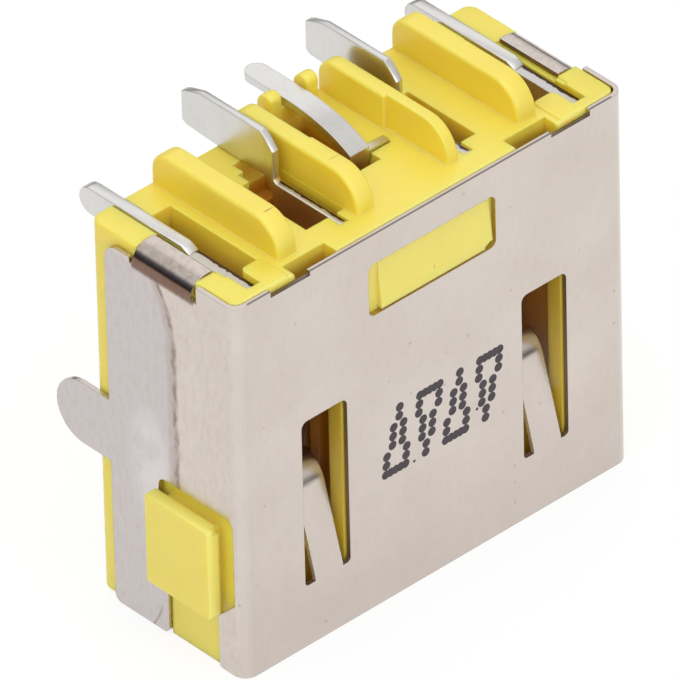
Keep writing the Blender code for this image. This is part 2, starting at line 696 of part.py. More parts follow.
def make_housing():
    """One-piece moulding with its socket, tongue, ribs, pads and ears."""
    front = BEND_RADIUS - SHEET
    outline = rounded((-MOULD_X, MOULD_X), (MOULD_Y, BODY_DEPTH), (front, front, BACK_CORNER, BACK_CORNER))
    body = soften(plate("housing", outline, "XY", 0.0, TOP, PARTS), RIM_ROUND)
    added = tool_collection("housing_added")
    make_ribs(added)
    make_posts(added)
    make_pads(added)
    make_ears(added)
    make_latch(added)
    cuts = tool_collection("housing_cuts")
    cut_rib_steps(cuts)
    cut_socket(cuts)
    cut_finger_pockets(cuts)
    cut_tab_seats(cuts)
    cut_ground_pockets(cuts)
    cut_sense_pocket(cuts)
    cut_power_pockets(cuts)
    cut_tongue(cuts)
    combine(body, added, 'UNION')
    combine(body, cuts, 'DIFFERENCE')
    return finish(body, surface("yellow_moulding", YELLOW, 0.42, 0.0))


def shell_outline():
    """Plan of the bent sheet: the wide plate and both side plates."""
    path = [(HALF - SHEET / 2, SHELL_SIDE)]
    bend = BEND_RADIUS - SHEET / 2
    path += arc((HALF - BEND_RADIUS, BEND_RADIUS), bend, 0, -90)
    path += arc((-HALF + BEND_RADIUS, BEND_RADIUS), bend, 270, 180)
    path.append((-HALF + SHEET / 2, SHELL_SIDE))
    return strip(path, SHEET)


def make_tabs(group):
    """Lock tabs rolled inwards from the top of each side plate."""
    for side in (-1, 1):
        radius = TAB_RADIUS - SHEET / 2
        centre = (side * (HALF - TAB_RADIUS), TAB_START)
        turn = (0, 90) if side > 0 else (180, 90)
        path = [(side * (HALF - SHEET / 2), TAB_START - EXTRA)]
        path += arc(centre, radius, turn[0], turn[1], 12)
        path.append((centre[0] - side * TAB_FLAT, TAB_START + radius))
        plate("lock_tab", strip(path, SHEET), "XZ", TAB_FRONT, TAB_BACK, group)


def make_legs(group):
    """Solder leg with a round end on the back edge of each side plate."""
    radius = LEG_HEIGHT / 2
    middle = LEG_LOW + radius
    outline = [(SHELL_SIDE - EXTRA, LEG_LOW), (LEG_TIP - radius, LEG_LOW)]
    outline += arc((LEG_TIP - radius, middle), radius, -90, 90, 12)
    outline.append((SHELL_SIDE - EXTRA, middle + radius))
    for side in (-1, 1):
        x = sorted((side * HALF, side * (HALF - SHEET)))
        plate("solder_leg", outline, "YZ", x[0], x[1], group)


def make_fingers(group):
    """Spring fingers that lean in from the foot of each window."""
    root = FINGER_WINDOW_LOW - EXTRA / 2
    hinge = FINGER_WINDOW_LOW + FINGER_HINGE
    lean = FINGER_LEAN
    path = [(SHEET / 2, root), (SHEET / 2, hinge)]
    knee = (path[1][0] + FINGER_STRAIGHT * sin(lean), hinge + FINGER_STRAIGHT * cos(lean))
    path.append(knee)
    centre = (knee[0] + FINGER_CURL * cos(lean), knee[1] - FINGER_CURL * sin(lean))
    steps = 10
    for index in range(1, steps + 1):
        turn = lean + FINGER_CURL_ANGLE * index / steps
        path.append((centre[0] - FINGER_CURL * cos(turn), centre[1] + FINGER_CURL * sin(turn)))
    for side in (-1, 1):
        middle = side * FINGER_X + FINGER_SHIFT
        x = (middle - FINGER_WIDTH / 2, middle + FINGER_WIDTH / 2)
        plate("spring_finger", strip(path, SHEET), "YZ", x[0], x[1], group)


def cut_windows(group):
    """Latch window and the two finger windows."""
    y = (-EXTRA, SHEET + EXTRA / 4)
    half = LATCH_WINDOW_WIDTH / 2
    outline = rounded((-half, half), (LATCH_WINDOW_LOW, LATCH_WINDOW_HIGH), [WINDOW_CORNER] * 4)
    plate("latch_window", outline, "XZ", y[0], y[1], group)
    for side in (-1, 1):
        middle = side * FINGER_X
        x = (middle - FINGER_WINDOW_WIDTH / 2, middle + FINGER_WINDOW_WIDTH / 2)
        radii = (WINDOW_FOOT, WINDOW_FOOT, WINDOW_CORNER, WINDOW_CORNER)
        outline = rounded(x, (FINGER_WINDOW_LOW, FINGER_WINDOW_HIGH), radii)
        plate("finger_window", outline, "XZ", y[0], y[1], group)


def cut_top_edge(group):
    """Lower middle of the wide plate and its two notches."""
    y = (-EXTRA, BEND_RADIUS - OVERLAP)
    edge = HALF - CORNER_WIDTH
    half = edge - NOTCH_WIDTH + OVERLAP
    block("middle_trim", (-half, half), y, (TOP, TOP + EXTRA), group)
    for side in (-1, 1):
        x = sorted((side * edge, side * (edge - NOTCH_WIDTH)))
        block("edge_notch", x, y, (TOP - NOTCH_DEPTH, TOP + EXTRA), group)


def cut_side_edges(group):
    """Side plate top: reliefs beside the lock tab and the humped back part."""
    above = TOP + CORNER_RISE + EXTRA
    front = TAB_FRONT - TAB_RELIEF
    back = TAB_BACK + HUMP_GAP
    small = RELIEF_RADIUS
    large = HUMP_RADIUS
    hump = [(back, TAB_START)]
    hump += arc((back + small, HUMP_TOP - small), small, 180, 90, 3)
    hump += arc((SHELL_SIDE - large, HUMP_TOP - large), large, 90, 0)
    hump += [(SHELL_SIDE + EXTRA, HUMP_TOP - large), (SHELL_SIDE + EXTRA, above)]
    hump += [(front, above), (front, TAB_START)]
    for side in (-1, 1):
        x = sorted((side * (HALF + EXTRA), side * (HALF - SHEET - EXTRA / 2)))
        plate("side_top_trim", hump, "YZ", x[0], x[1], group)


def cut_side_slots(group):
    """Slot round the ear and the slit below it, open at the mating edge."""
    slope = SLIT_FRONT - SLOT_FRONT
    radii = (0.0, 0.0, SLOT_CORNER, SLOT_CORNER)
    outline = rounded((SLOT_FRONT, SLOT_BACK), (SLOT_SHOULDER, SLOT_TOP), radii)
    shoulder = outline[:2]
    upper = outline[2:]
    small, large = SLIT_FOOT
    slit = [(SLIT_FRONT, SLOT_SHOULDER - slope)]
    slit += arc((SLIT_FRONT - small, small), small, 360, 270, 4)
    slit += [(SLIT_FRONT - small, -EXTRA), (SLIT_BACK + large, -EXTRA)]
    slit += arc((SLIT_BACK + large, large), large, 270, 180)
    slit.append((SLIT_BACK, SLOT_SHOULDER - slope))
    for side in (-1, 1):
        x = sorted((side * (HALF + EXTRA), side * (HALF - SHEET - EXTRA / 4)))
        plate("ear_slot", [shoulder[0]] + slit + [shoulder[1]] + upper, "YZ", x[0], x[1], group)
        corner = [(SHELL_SIDE + EXTRA, FOOT_RADIUS), (SHELL_SIDE + EXTRA, -EXTRA)]
        corner += [(SHELL_SIDE - FOOT_RADIUS, -EXTRA)]
        corner += arc((SHELL_SIDE - FOOT_RADIUS, FOOT_RADIUS), FOOT_RADIUS, 270, 360)
        plate("foot_round", corner, "YZ", x[0], x[1], group)


def make_shield():
    """Shell bent from one plated sheet, with tabs, legs and fingers."""
    shell = plate("shield", shell_outline(), "XY", 0.0, TOP + CORNER_RISE, PARTS)
    cuts = tool_collection("shield_cuts")
    cut_windows(cuts)
    cut_top_edge(cuts)
    cut_side_edges(cuts)
    cut_side_slots(cuts)
    added = tool_collection("shield_added")
    make_tabs(added)
    make_legs(added)
    make_fingers(added)
    combine(shell, cuts, 'DIFFERENCE')
    combine(shell, added, 'UNION')
    return finish(shell, surface("nickel_plated_sheet", NICKEL, 0.34, 1.0))


def spring_path(side, straight_x, bulge, top):
    """Middle line of a contact spring that bows out and returns."""
    shoulder = side * (straight_x + bulge * BEAM_SHOULDER_SHARE)
    path = [(side * straight_x, top), (side * straight_x, BEAM_ROOT)]
    path.append((shoulder, BEAM_PEAK + BEAM_SPAN))
    path.append((side * (straight_x + bulge), BEAM_PEAK))
    path.append((shoulder, BEAM_PEAK - BEAM_SPAN))
    path.append((side * (straight_x + bulge * BEAM_TIP_SHARE), BEAM_TIP))
    return path


def spring_y():
    """Depth range of the contact springs, on the plug's middle plane."""
    return (SOCKET_MID - BEAM_WIDTH / 2, SOCKET_MID + BEAM_WIDTH / 2)


def make_ground(name, side):
    """Outer terminal: stout tail, thin blade, spring on the plug's short side."""
    top = TOP + GROUND_TAIL_PROUD
    low = top - GROUND_TAIL_HEIGHT
    radius = GROUND_TAIL_HEIGHT / 2
    tail = [(GROUND_TAIL_FRONT + TERMINAL_GAP, low), (TAIL_TIP - radius, low)]
    tail += arc((TAIL_TIP - radius, low + radius), radius, -90, 90, 8)
    tail += [(GROUND_TAIL_FRONT + GROUND_TAIL_FACET, top)]
    tail += [(GROUND_TAIL_FRONT + TERMINAL_GAP, top - GROUND_BLADE_DROP)]
    middle = side * GROUND_X
    half = GROUND_TAIL_WIDTH / 2
    item = soften(plate(name, tail, "YZ", middle - half, middle + half, PARTS), STOCK_EDGE)
    added = tool_collection(name + "_parts")
    y = spring_y()
    half = GROUND_BLADE_WIDTH / 2
    deep = TOP - GROUND_POCKET_DEPTH - SLOT_EXTRA + TERMINAL_GAP
    blade_top = top - GROUND_BLADE_DROP - TERMINAL_GAP
    back = GROUND_POCKET_BACK - TERMINAL_GAP
    blade = [(GROUND_BLADE_FRONT, blade_top), (GROUND_BLADE_FRONT, deep), (y[1], deep)]
    blade += [(back, low + 2 * OVERLAP), (back, blade_top)]
    plate(name + "_blade", blade, "YZ", middle - half, middle + half, added)
    inward = GROUND_X - SOCKET_X + BEAM_BULGE / 2
    path = spring_path(side, GROUND_X, -inward, deep + BEAM_CLEAR)
    plate(name + "_spring", strip(path, STOCK), "XZ", y[0], y[1], added)
    combine(item, added, 'UNION')
    return finish(item, surface(name + "_tin", TIN, 0.30, 1.0))


def power_outline():
    """Side view of a power terminal's tail and blade, with a small foot between them."""
    back = TAIL_TIP
    rest = TOP + TERMINAL_GAP
    front = POWER_TAIL_FRONT
    tip_low = rest + STOCK / 4
    cut = POWER_TIP_CUT
    hip = POWER_TAIL_HIP
    blade_top = TOP - TERMINAL_GAP
    points = [
        (POWER_BLADE_FRONT, blade_top),
        (POWER_BLADE_FRONT, TOP - POWER_POCKET_DEPTH - SLOT_EXTRA + TERMINAL_GAP),
        (front, TOP - POWER_POCKET_DEPTH - SLOT_EXTRA + TERMINAL_GAP),
        (front, TOP - POWER_TAIL_THROAT),
        (front + cut, rest),
        (BODY_DEPTH, rest),
        (back - cut, tip_low),
        (back, tip_low + cut / 2),
        (back, tip_low + POWER_TIP_HEIGHT),
        (back - cut, tip_low + POWER_TIP_HEIGHT + cut / 2),
        (back - POWER_TIP_SLOPE, POWER_TAIL_TOP),
        (front + POWER_TAIL_SHOULDER, POWER_TAIL_TOP),
        (front + hip[0], POWER_TAIL_TOP - hip[1]),
        (front, POWER_TAIL_TOP - POWER_TAIL_SHOULDER),
    ]
    points += arc((front - POWER_FOOT, blade_top + POWER_FOOT), POWER_FOOT, 360, 270, 4)
    return points


def make_power(name, side):
    """Power terminal: wide flat tail, blade beside the rib, spring on the tongue."""
    middle = side * POWER_X
    item = plate(name, power_outline(), "YZ", middle - STOCK / 2, middle + STOCK / 2, PARTS)
    soften(item, STOCK_EDGE)
    added = tool_collection(name + "_parts")
    y = spring_y()
    start = TOP - POWER_POCKET_DEPTH
    path = spring_path(side, POWER_X, BEAM_BULGE, start)
    plate(name + "_spring", strip(path, STOCK), "XZ", y[0], y[1], added)
    combine(item, added, 'UNION')
    return finish(item, surface(name + "_tin", TIN, 0.30, 1.0))


def sense_path():
    """Middle line of the sense strip, from its bend down into the tongue."""
    half = SENSE_STOCK / 2
    top = SENSE_TAIL_TOP - half
    path = [(SENSE_BEND_Y + 2 * SENSE_STOCK, top), (SENSE_BEND_Y, top)]
    turn = 0.0
    steps = 6
    for radius, end in SENSE_BENDS:
        y, z = path[-1]
        for index in range(1, steps + 1):
            angle = turn + (end - turn) * index / steps
            path.append((y - radius * (sin(angle) - sin(turn)), z - radius * (cos(turn) - cos(angle))))
        turn = end
    face = SENSE_FACE + half
    slope = path[-1]
    if slope[0] > face:
        path.append((face, slope[1] - (slope[0] - face) * tan(turn)))
    back = SOCKET_MID + PIN_HOLE / 2 + half
    jog = TOP - SENSE_POCKET_DEPTH - SLOT_EXTRA
    path.append((face, jog))
    path.append((back, jog - abs(back - face)))
    path.append((back, BEAM_ROOT))
    path.append((back - SENSE_SPRING_BOW[0], BEAM_PEAK + BEAM_SPAN))
    path.append((back - SENSE_SPRING_BOW[1], BEAM_TIP + 2 * BEAM_SPAN))
    return path


def make_sense():
    """Centre terminal: flat tail with a round tip, bent down into the tongue."""
    half = SENSE_WIDTH / 2
    y = (SENSE_BEND_Y, SENSE_TAIL_TIP - half)
    outline = [(-half, y[0]), (half, y[0])]
    outline += arc((0.0, y[1]), half, 0, 180, 10)
    z = (SENSE_TAIL_TOP - SENSE_STOCK, SENSE_TAIL_TOP)
    item = plate("terminal_sense", outline, "XY", z[0], z[1], PARTS)
    added = tool_collection("terminal_sense_parts")
    plate("sense_strip", strip(sense_path(), SENSE_STOCK), "YZ", -half, half, added)
    x = (0.0, half + SENSE_STUB_LENGTH)
    z = (SENSE_STUB_TOP - SENSE_STUB_HEIGHT, SENSE_STUB_TOP)
    block("sense_stub", x, (SENSE_FACE, SENSE_FACE + SENSE_STOCK), z, added)
    combine(item, added, 'UNION')
    return finish(item, surface("sense_tin", TIN, 0.30, 1.0))


clear_scene()
PARTS = new_collection("dc_power_jack")
TOOLS = new_collection("construction_shapes")
ROOT = make_root()
make_housing()
make_shield()
make_ground("terminal_ground_left", -1)
make_power("terminal_power_left", -1)
make_sense()
make_power("terminal_power_right", 1)
make_ground("terminal_ground_right", 1)
for collection in TOOLS.children:
    for shape in collection.objects:
        as_tool(shape)
bpy.context.view_layer.update()
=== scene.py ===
"""Looks of a dc power jack: finishes, ink dots, camera and studio light.

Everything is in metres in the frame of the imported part: X along the wide shell
plate, Y from that plate to the board side, Z up from the mating face.
"""

from math import cos, pi, radians, sin

import bmesh
import bpy
from mathutils import Matrix, Vector


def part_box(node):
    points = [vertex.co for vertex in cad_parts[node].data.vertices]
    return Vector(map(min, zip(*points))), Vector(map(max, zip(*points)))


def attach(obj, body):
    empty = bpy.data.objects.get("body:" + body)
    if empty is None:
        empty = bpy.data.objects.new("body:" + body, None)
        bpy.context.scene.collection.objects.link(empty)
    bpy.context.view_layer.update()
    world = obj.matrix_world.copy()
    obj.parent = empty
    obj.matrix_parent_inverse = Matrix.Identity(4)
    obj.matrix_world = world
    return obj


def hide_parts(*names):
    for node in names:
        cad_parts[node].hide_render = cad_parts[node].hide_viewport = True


# Camera, solved from the straight edges of the photographed jack
AIM = Vector((-0.001480, -0.001505, 0.007673))
AZIMUTH = radians(-42.083)
ELEVATION = radians(36.862)
ROLL = radians(-1.429)
DISTANCE = 0.53827
LENS = 1010.75
SENSOR = 36.0

# Studio
FLOOR_SIZE = 1.2
FLOOR_GREY = (0.9, 0.9, 0.9, 1)
FLOOR_ROUGH = 0.9
FLOOR_WHITE = 1.04
SHADOW_SHARE = 0.22

# Flat and round faces, and the edges between them
EDGE_ROUND = 0.00008
# Width of the painted highlight along the moulding's edges
HIGHLIGHT_EDGE = 0.00011
SHEET_ROUND = 0.00003
EDGE_SAMPLES = 6
WELD = 1e-7
SHARP_ANGLE = radians(32)

# How far a face looks along an axis, from 0 to 1
SQUARE_ON = 0.9
SLANTED = 0.5
EDGE_ON = 0.3
SHEET_UP = 0.97
BLADE_UP = 0.95

# Body of the moulding, without its ribs, posts and ears, inside which painted shade deepens
BODY_TOP = 0.01296
BODY_BACK = 0.00238
BODY_SIDE = 0.00732
DEEP_RANGE = (0.0001, 0.0010)
SHALLOW_X = 0.0052
SHALLOW_SHARE = 0.5

# Places on the moulding that the colour, its painted shade and its painted light follow
BARE_TOP = 0.0124
BARE_SIDE = 0.0072
PAD_SIDE = 0.00752
BESIDE_LOW = 0.0121
LATCH_LOW = 0.0090
LATCH_BACK = 0.0003
LEDGE_X = (0.00188, 0.00206)
LEDGE_Y = (-0.00226, 0.00046)
LEDGE_Z = (0.01285, 0.01305)
SLOT_TOP = 0.0080
SLOT_BACK = 0.0011
SLOT_SHADE = 0.40

# Colours of the moulding, the brown of its painted recess shade, and tints of painted light and shade as
# strength and colour
YELLOWS = ((0.850, 0.690, 0.070, 1), (0.870, 0.720, 0.086, 1))
RECESS_SHADE_BROWN = (0.62, 0.255, 0.003, 1)
# Painted light: the latch ramp drawn paler
LATCH_PAINTED_LIGHT = (0.22, (0.94, 0.86, 0.30, 1))
# Painted bounce light: rib sides facing -X drawn brighter orange near the top
RIB_SIDE_PAINTED_BOUNCE = (0.5, (0.92, 0.69, 0.012, 1))
# Painted shade: the lit ledge below the ribs drawn darker
LEDGE_PAINTED_SHADE = (0.7, (0.62, 0.45, 0.02, 1))
# Painted highlight: open edges drawn paler
EDGE_PAINTED_HIGHLIGHT = (0.45, (0.97, 0.87, 0.24, 1))
# Painted light: pad faces drawn paler
PAD_PAINTED_LIGHT = (0.60, (0.97, 0.87, 0.24, 1))

# Small marks on the moulding: middle, reach along the axes, strength
MOULD_MARKS = (
    ((-0.00453, -0.00203, 0.01412), (0.00026, 0.00003, 0.00012), 0.75),
    ((-0.00155, -0.00152, 0.01412), (0.00024, 0.00003, 0.00012), 0.40),
    ((0.00009, -0.00365, 0.01065), (0.00002, 0.00040, 0.00013), 0.70),
)
MARK_BROWN = (0.20, 0.10, 0.015, 1)
MARK_CORE = 0.4

# Satin plastic: how it scatters light, and its grain as scale and detail
PLASTIC = {
    "Subsurface Weight": 0.55, "Subsurface Radius": (1.0, 0.50, 0.08), "Subsurface Scale": 0.0007,
    "IOR": 1.86,
}
PLASTIC_CLOUD = (260.0, 3.0)
PLASTIC_GRAIN = (9000.0, 2.0)
PLASTIC_WAVE = (1100.0, 2.0)
PLASTIC_GRAIN_SHARE = 0.35
PLASTIC_BUMP = 0.06
PLASTIC_ROUGH = (0.12, 0.40)
BUMP_DISTANCE = 0.0002

# Plated metal: scale, detail and roughness of its textures
METAL_CLOUD = (330.0, 5.0, 0.6)
METAL_GRAIN = (14000.0, 2.0)
METAL_WAVE = (700.0, 2.0)
METAL_GRAIN_SHARE = 0.10
METAL_BUMP = 0.05
SPECK_SCALE = 2300.0
SPECK_CHOICE = 0.86
SPECK_SIZE = (0.05, 0.16)
# Where painted shade along sharp edges starts and becomes full
EDGE_TURN = (0.03, 0.30)
DRAWN = (1.0, 1.0, 0.45)
DRAWN_GRAIN = (5200.0, 4.0, 0.7)

# Sheet, its windows and its rolled tabs
SHEET = 0.00015
OUTER_SHARE = 0.45
WINDOWS_X = 0.0070
FINGER_X = 0.00424
FINGER_HALF = 0.0007
FINGER_HIGH = 0.0076
# Painted shade low on the wide plate: full below the first height, gone above the second
PLATE_LOW = (0.0003, 0.0050)
NOTCH_X = (0.0046, 0.0062)
NOTCH_TOP = 0.0129
TAB_Y = (-0.0021, 0.00045)
TAB_LOW = 0.01243
# Bands of painted reflection on the rolled tabs, by how far their face turns sideways
ROLL_TURN = (0.82, 0.90)
STRIPE_START = (0.62, 0.79)
STRIPE_END = (0.84, 0.93)
# Painted highlight on the bends, by how far a face turns between X and Y
BEND_TURN = (0.15, 0.5)

# Crease that runs up each side plate, drawn as painted shade, and the purple-grey tint behind it
CREASE_Y = -0.00122
CREASE_WIDTH = 0.00017
CREASE_SHADE = 0.00042
CREASE_BEND_Z = 0.0103
CREASE_BEND = 150.0
CREASE_WANDER = 0.00034
CREASE_WANDER_NOISE = (1400.0, 5.0, 0.65)
CREASE_PATCH_NOISE = (2300.0, 5.0, 0.7)
CREASE_SHADE_SHARE = 0.26
CREASE_PATCH_SHARE = 0.55
# Painted highlight patch low on each side plate
HIGHLIGHT_PATCH_PLACE = (0.0, -0.00006, 0.0057)
HIGHLIGHT_PATCH_REACH = (1.0, 0.0011, 0.0024)
HIGHLIGHT_PATCH_NOISE = (900.0, 4.0)

# Rub mark: part of a ring in the side plate's Y and Z
RUB_CENTRE = (0.00174, 0.00134)
RUB_RADIUS = 0.00220
RUB_WIDTH = 0.00006
RUB_HIGH = 0.00100
RUB_FRONT = 0.00010

# Nickel: its two tones, its mottle, then strength and colour of each tint in order; several tints are
# painted shade, painted reflection and painted highlight
NICKELS = ((0.640, 0.573, 0.515, 1), (0.694, 0.627, 0.570, 1))
MOTTLE_SHARES = (0.17, 0.07)
NICKEL_TINTS = {
    # Painted shade, darker towards the bottom of the wide plate
    "Low shade": (0.30, (0.50, 0.42, 0.375, 1)),
    "Behind": (0.75, (0.560, 0.520, 0.525, 1)),
    "Mottle": (1.0, (0.40, 0.33, 0.30, 1)),
    # Painted highlight patch low on each side plate
    "Highlight patch": (0.50, (0.82, 0.78, 0.77, 1)),
    # Painted shade along the crease
    "Line": (0.95, (0.24, 0.16, 0.13, 1)),
    "Rub": (0.55, (0.27, 0.19, 0.15, 1)),
    # Painted highlight on the bends
    "Bend highlight": (0.15, (0.85, 0.81, 0.77, 1)),
    "Smudge": (0.45, (0.40, 0.31, 0.26, 1)),
    # Painted reflection on the rolled tabs: brown, then a dark stripe
    "Roll reflection": (0.86, (0.16, 0.075, 0.042, 1)),
    "Reflection stripe": (0.92, (0.045, 0.038, 0.050, 1)),
    "Speck": (0.30, (0.22, 0.17, 0.15, 1)),
    "Top": (0.35, (0.62, 0.57, 0.54, 1)),
    # Painted shade on the notch's cut top
    "Notch shade": (0.80, (0.10, 0.06, 0.045, 1)),
    # Painted shade along sharp edges
    "Edge shade": (0.40, (0.22, 0.18, 0.16, 1)),
    # Painted shade along the outer edge of the sheet's cut top
    "Outer edge shade": (0.80, (0.12, 0.095, 0.09, 1)),
    # Painted shade on the windows' cut edges
    "Window": (0.85, (0.24, 0.16, 0.09, 1)),
    # Painted yellow reflection on the latch window's cut edges
    "Latch edge reflection": (0.90, (0.62, 0.46, 0.12, 1)),
    "Rim": (0.80, (0.88, 0.85, 0.83, 1)),
}
NICKEL_ROUGH = (0.08, 0.21)
TOP_ROUGH = 0.15
HIGHLIGHT_PATCH_ROUGH = 0.12
CUT_ROUGH = 0.35

# Sheared blade tops of the four outer terminals, and a dark brown strip along one side of each
BLADE_TOP = (0.0128, 0.01294)
POWER_X = 0.00238
GROUND_X = 0.00625
OUTER_X = 0.0043
SHEAR_START = 0.00001
SHEAR_SOFT = 0.00002
SHEAR_THICK = 0.00006
SHEAR_JAG = 0.00020
SHEAR_NOISE = (4200.0, 3.0)

# Tin: its two tones, then strength and colour of each tint in order
TINS = ((0.65, 0.635, 0.61, 1), (0.735, 0.725, 0.70, 1))
TIN_TINTS = {
    "Mottle": (0.35, (0.50, 0.48, 0.47, 1)),
    "Speck": (0.5, (0.25, 0.22, 0.20, 1)),
    # Painted shade along sharp edges
    "Edge shade": (0.55, (0.22, 0.19, 0.18, 1)),
    "Cut": (0.5, (0.46, 0.44, 0.43, 1)),
    "Dark strip": (0.94, (0.050, 0.017, 0.005, 1)),
}
TIN_ROUGH = (0.10, 0.28)

# Printed dots on the wide plate
DOT_PITCH = (0.00019, 0.00030)
DOT_RADIUS = 0.000150
DOT_SLANT = 0.10
DOT_RISE = 0.000004
DOT_STAGGER = 0.1
DOT_SIDES = 16
FIGURE_PITCH = 0.00116
FIGURES_MIDDLE = (0.00027, 0.00545)
POINTING_UP = ("..#..", "..#..", ".#.#.", ".#.#.", ".#.#.", "#...#", "#...#", "#####")
FIGURES = (POINTING_UP, POINTING_UP[::-1], POINTING_UP, POINTING_UP[::-1])
STRAY_DOTS = ((-0.00086, 0.00431), (0.00159, 0.00486))
INKS = ((0.036, 0.025, 0.032, 1), (0.062, 0.048, 0.056, 1))
INK_NOISE = (6000.0, 3.0)
INK_ROUGH = (0.2, 0.45)

# Surround: colours at the horizon and above, and the heights between them
HORIZON = (0.05, 0.045, 0.05, 1)
CEILING = (0.84, 0.84, 0.84, 1)
RISE = (0.10, 0.42)
SURROUND_STRENGTH = 0.9

# Softboxes: name, place, size, watts
SOFTBOXES = (
    ("top_box", (-0.05, -0.02, 0.60), (0.50, 0.50), 0.9),
    ("left_box", (-0.55, -0.10, 0.28), (0.40, 0.40), 0.35),
    ("key_box", (-0.40, -0.42, 0.30), (0.35, 0.35), 0.5),
    ("front_box", (0.05, -0.60, 0.30), (0.40, 0.40), 0.8),
    ("back_box", (0.38, 0.42, 0.42), (0.35, 0.35), 0.20),
)

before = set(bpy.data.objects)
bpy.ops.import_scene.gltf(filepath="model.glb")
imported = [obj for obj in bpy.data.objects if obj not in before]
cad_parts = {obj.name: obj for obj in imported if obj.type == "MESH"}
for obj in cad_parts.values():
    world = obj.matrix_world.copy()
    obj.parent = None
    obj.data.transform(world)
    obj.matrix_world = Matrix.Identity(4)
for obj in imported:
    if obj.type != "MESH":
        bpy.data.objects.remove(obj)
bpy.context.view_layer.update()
FRONT_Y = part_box("shield")[0].y


def add(tree, kind, inputs=None, **settings):
    """Add a shader node; inputs may be values or sockets of other nodes."""
    made = tree.nodes.new(kind)
    for name, value in settings.items():
        setattr(made, name, value)
    for name, value in (inputs or {}).items():
        if isinstance(value, bpy.types.NodeSocket):
            tree.links.new(value, made.inputs[name])
        else:
            made.inputs[name].default_value = value
    return made


def math_node(tree, operation, first, second=0.0, third=0.0):
    """Math node, returned as its output socket."""
    made = add(tree, "ShaderNodeMath", {0: first, 1: second, 2: third}, operation=operation)
    return made.outputs[0]


def ramp(tree, value, low, high):
    """Smooth 0 to 1 step between two values."""
    made = add(tree, "ShaderNodeMapRange", {"Value": value, "From Min": low, "From Max": high},
               interpolation_type='SMOOTHSTEP', clamp=True)
    return made.outputs[0]


def blend(tree, share, first, second):
    """Colour mix, returned as its output socket."""
    return add(tree, "ShaderNodeMix", {0: share, 6: first, 7: second}, data_type='RGBA').outputs[2]


def product(tree, *values):
    """Product of several values."""
    result = values[0]
    for value in values[1:]:
        result = math_node(tree, 'MULTIPLY', result, value)
    return result


def rest_of(tree, value):
    """1 less a value."""
    return math_node(tree, 'SUBTRACT', 1.0, value)


def above(tree, value, limit):
    """1 where a value is over a limit."""
    return math_node(tree, 'GREATER_THAN', value, limit)


def under(tree, value, limit):
    """1 where a value is less than a limit."""
    return math_node(tree, 'LESS_THAN', value, limit)


def inside(tree, value, low, high):
    """1 where a value lies between two limits."""
    return product(tree, above(tree, value, low), under(tree, value, high))


def size_of(tree, value):
    """Value without its sign."""
    return math_node(tree, 'ABSOLUTE', value)


def tint(tree, colour, share, strength, tone):
    """Colour drawn to a tone, by a mask and a strength."""
    return blend(tree, product(tree, share, strength), colour, tone)


def noise(tree, place, scale, detail=2.0, roughness=0.5):
    """Noise value at a place."""
    made = add(tree, "ShaderNodeTexNoise", {"Vector": place, "Scale": scale, "Detail": detail,
                                            "Roughness": roughness})
    return made.outputs["Fac"]


def object_place(tree):
    """Object coordinates, which are the part's own metres."""
    return add(tree, "ShaderNodeTexCoord").outputs["Object"]


def group_with(name, sockets):
    """New node group with its output sockets and its output node."""
    tree = bpy.data.node_groups.new(name, "ShaderNodeTree")
    for label, kind in sockets:
        tree.interface.new_socket(label, in_out='OUTPUT', socket_type=kind)
    return tree, tree.nodes.new("NodeGroupOutput")


def use_group(tree, group):
    """Place a node group in a material."""
    made = tree.nodes.new("ShaderNodeGroup")
    made.node_tree = group
    return made.outputs


def principled(name, values):
    """New material with its Principled shader set to plain values."""
    material = bpy.data.materials.new(name)
    material.use_nodes = True
    shader = material.node_tree.nodes["Principled BSDF"]
    for label, value in values.items():
        shader.inputs[label].default_value = value
    return material, material.node_tree, shader


def rounded_edge(tree, radius, normal):
    """Normal rounded over sharp edges, joined to a bump's normal."""
    made = add(tree, "ShaderNodeBevel", {"Radius": radius, "Normal": normal}, samples=EDGE_SAMPLES)
    return made.outputs["Normal"]


def edge_line(tree, radius, start, full):
    """1 along sharp edges, where the rounded normal leaves the face's own."""
    bent = add(tree, "ShaderNodeBevel", {"Radius": radius}, samples=EDGE_SAMPLES).outputs["Normal"]
    flat = add(tree, "ShaderNodeNewGeometry").outputs["True Normal"]
    agree = add(tree, "ShaderNodeVectorMath", {0: bent, 1: flat}, operation='DOT_PRODUCT').outputs["Value"]
    return ramp(tree, rest_of(tree, agree), start, full)


def split(tree, vector):
    """The three parts of a vector as sockets."""
    return add(tree, "ShaderNodeSeparateXYZ", {"Vector": vector}).outputs


def face_way(tree):
    """Direction that the flat face looks in, split in three."""
    return split(tree, add(tree, "ShaderNodeNewGeometry").outputs["True Normal"])


def recess_shade_group():
    """How deep a place lies inside the body of the moulding, from 0 to 1, which sets the painted shade in
    its recesses.
    """
    tree, out = group_with("inside_depth", (("Deep", 'NodeSocketFloat'),))
    axes = split(tree, object_place(tree))
    shallow = above(tree, size_of(tree, axes["X"]), SHALLOW_X)
    nearest = product(tree, math_node(tree, 'SUBTRACT', BODY_TOP, axes["Z"]),
                      math_node(tree, 'MULTIPLY_ADD', shallow, -SHALLOW_SHARE, 1.0))
    for wall in (math_node(tree, 'SUBTRACT', axes["Y"], FRONT_Y + SHEET),
                 math_node(tree, 'SUBTRACT', BODY_BACK, axes["Y"]),
                 math_node(tree, 'SUBTRACT', BODY_SIDE, size_of(tree, axes["X"])), axes["Z"]):
        nearest = math_node(tree, 'MINIMUM', nearest, wall)
    tree.links.new(ramp(tree, nearest, *DEEP_RANGE), out.inputs["Deep"])
    return tree


